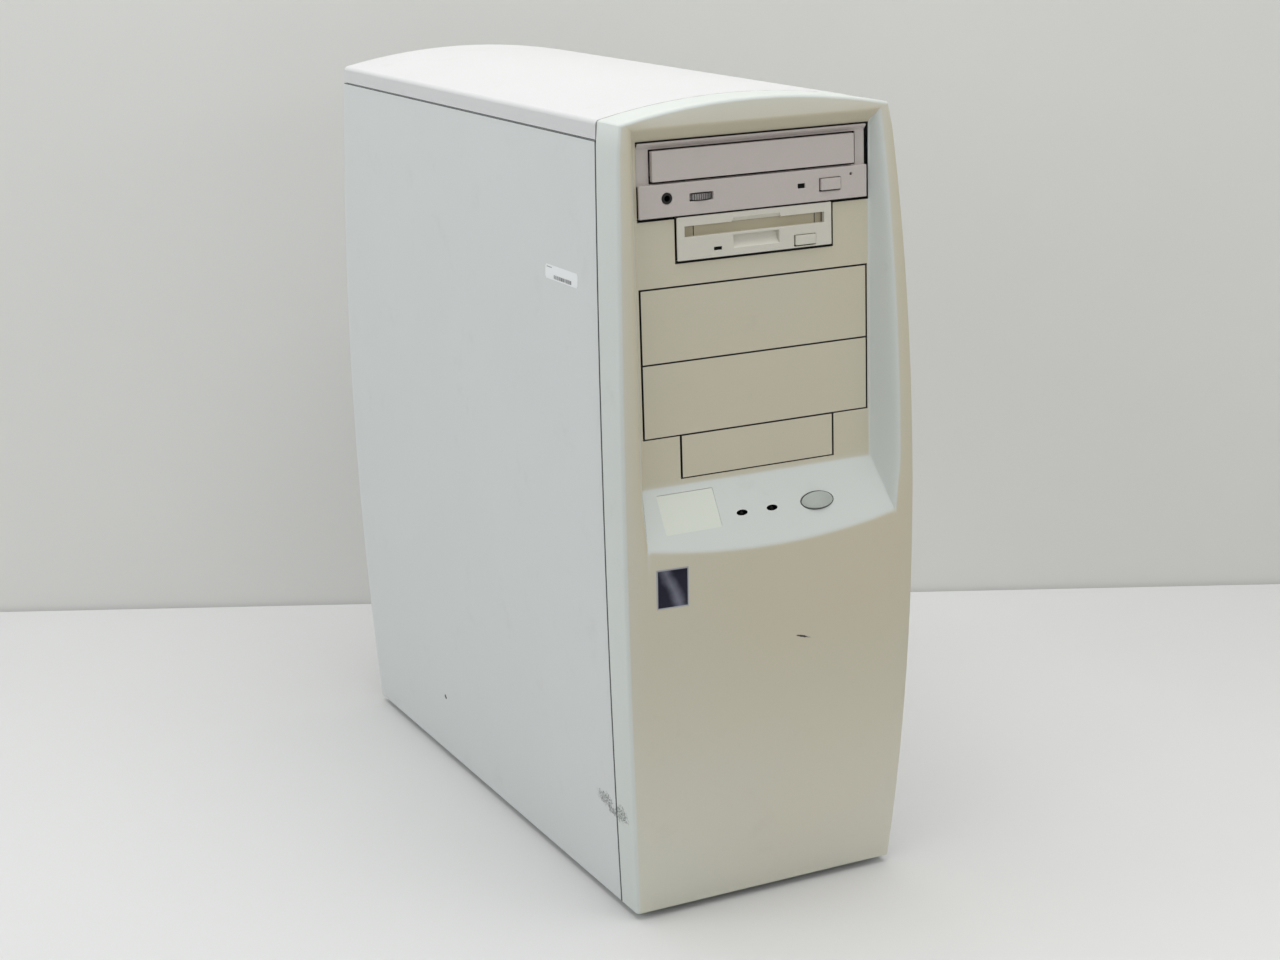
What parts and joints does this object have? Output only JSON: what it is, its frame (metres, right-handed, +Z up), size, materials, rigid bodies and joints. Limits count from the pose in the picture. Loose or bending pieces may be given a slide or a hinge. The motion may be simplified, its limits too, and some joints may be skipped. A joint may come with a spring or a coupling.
{
  "type": "tower computer",
  "caption": "Mid tower personal computer with bowed sides, arched top, drafted drive recess, sloping control shelf and working drives.",
  "frame": {"origin": "on the floor under the middle of the whole machine, at the bottom of the feet", "axes": "+Z up, -Y out of the front, +X to the right seen from the front"},
  "size_m": [0.194, 0.4723, 0.488],
  "materials": {
    "bezel_plastic": "satin",
    "putty_plastic": "satin",
    "drive_plastic": "satin",
    "floppy_plastic": "satin",
    "button_plastic": "satin",
    "black_plastic": "satin",
    "dark_plastic": "satin",
    "red_plastic": "satin",
    "lamp_plastic": "clear dark green",
    "socket_plastic": "satin",
    "foot_rubber": "matt",
    "painted_steel": "satin off-white",
    "chassis_steel": "zinc plated",
    "bright_steel": "nickel plated",
    "foil": "metallic foil",
    "board_laminate": "green resist",
    "cast_metal": "cast",
    "cable_plastic": "satin"
  },
  "bodies": {
    "case": {"front_bezel": "bezel_plastic", "name_plate": "bezel_plastic", "case_badge": "foil", "power_switch": "dark_plastic", "status_lamps": "lamp_plastic", "bay_blank_upper": "putty_plastic", "bay_blank_lower": "putty_plastic", "bay_blank_small": "putty_plastic", "top_cover": "painted_steel", "feet": "foot_rubber", "base_pan": "chassis_steel", "front_frame": "chassis_steel", "rear_panel": "chassis_steel", "top_frame": "chassis_steel", "board_tray": "chassis_steel", "drive_cage": "chassis_steel", "floppy_bracket": "chassis_steel", "hard_drive_cage": "chassis_steel", "slot_covers": "chassis_steel", "rear_screws": "bright_steel", "io_shield": "bright_steel", "psu_case": "chassis_steel", "psu_circuit": "board_laminate", "psu_fan_guard": "bright_steel", "psu_fan_frame": "black_plastic", "mains_inlet": "black_plastic", "main_board": "board_laminate", "expansion_sockets": "socket_plastic", "memory_modules": "board_laminate", "processor_cartridge": "black_plastic", "rear_ports": "bright_steel", "video_card": "board_laminate", "sound_card": "board_laminate", "sound_jacks": "black_plastic", "hard_drive": "cast_metal", "cd_case": "chassis_steel", "cd_bezel": "drive_plastic", "cd_deck": "dark_plastic", "cd_headphone_jack": "black_plastic", "floppy_case": "chassis_steel", "floppy_bezel": "floppy_plastic", "floppy_deck": "cast_metal", "drive_lamps": "lamp_plastic", "speaker": "black_plastic", "ribbon_cables": "cable_plastic"},
    "left_panel": {"left_side_panel": "painted_steel", "left_panel_screws": "bright_steel"},
    "right_panel": {"right_side_panel": "painted_steel", "right_panel_screws": "bright_steel"},
    "power_button": {"power_button": "button_plastic"},
    "cd_tray": {"cd_tray": "drive_plastic"},
    "cd_eject_button": {"cd_eject_button": "drive_plastic"},
    "cd_volume_wheel": {"cd_volume_wheel": "dark_plastic"},
    "cd_turntable": {"cd_turntable": "dark_plastic"},
    "cd_laser_sled": {"cd_laser_sled": "dark_plastic"},
    "floppy_door": {"floppy_door": "floppy_plastic"},
    "floppy_eject_button": {"floppy_eject_button": "floppy_plastic"},
    "psu_fan_rotor": {"psu_fan_rotor": "black_plastic"},
    "processor_fan_rotor": {"processor_fan_rotor": "black_plastic"},
    "voltage_slider": {"voltage_slider": "red_plastic"}
  },
  "joints": [
    {"name": "left_panel_slide", "type": "slide", "parent": "case", "child": "left_panel", "axis": [0, 1, 0], "range_m": [0, 0.025]},
    {"name": "right_panel_slide", "type": "slide", "parent": "case", "child": "right_panel", "axis": [0, 1, 0], "range_m": [0, 0.025]},
    {"name": "power_button_press", "type": "slide", "parent": "case", "child": "power_button", "axis": [0, 0.8634, -0.5045], "range_m": [0, 0.0025], "stiffness_N_per_m": 600},
    {"name": "cd_tray_slide", "type": "slide", "parent": "case", "child": "cd_tray", "axis": [0, -1, 0], "range_m": [0, 0.138]},
    {"name": "cd_eject_press", "type": "slide", "parent": "case", "child": "cd_eject_button", "axis": [0, 1, 0], "range_m": [0, 0.0012], "stiffness_N_per_m": 600},
    {"name": "cd_volume_turn", "type": "hinge", "parent": "case", "child": "cd_volume_wheel", "pos_m": [-0.0345, -0.20701, 0.434], "axis": [0, 0, 1], "range_deg": [-135, 135]},
    {"name": "cd_turntable_spin", "type": "hinge", "parent": "case", "child": "cd_turntable", "pos_m": [0, -0.14121, 0.4403], "axis": [0, 0, 1], "continuous": true},
    {"name": "cd_laser_slide", "type": "slide", "parent": "case", "child": "cd_laser_sled", "axis": [0, 1, 0], "range_m": [0, 0.034]},
    {"name": "floppy_door_swing", "type": "hinge", "parent": "case", "child": "floppy_door", "pos_m": [0, -0.21131, 0.4188], "axis": [1, 0, 0], "range_deg": [0, 80], "stiffness_Nm_per_rad": 0.0005},
    {"name": "floppy_eject_slide", "type": "slide", "parent": "case", "child": "floppy_eject_button", "axis": [0, -1, 0], "range_m": [0, 0.005]},
    {"name": "psu_fan_spin", "type": "hinge", "parent": "case", "child": "psu_fan_rotor", "pos_m": [-0.027, 0.20679, 0.4211], "axis": [0, 1, 0], "continuous": true},
    {"name": "processor_fan_spin", "type": "hinge", "parent": "case", "child": "processor_fan_rotor", "pos_m": [0.0321, 0.06629, 0.2855], "axis": [0, 1, 0], "continuous": true},
    {"name": "voltage_select", "type": "slide", "parent": "case", "child": "voltage_slider", "axis": [1, 0, 0], "range_m": [0, 0.005]}
  ]
}
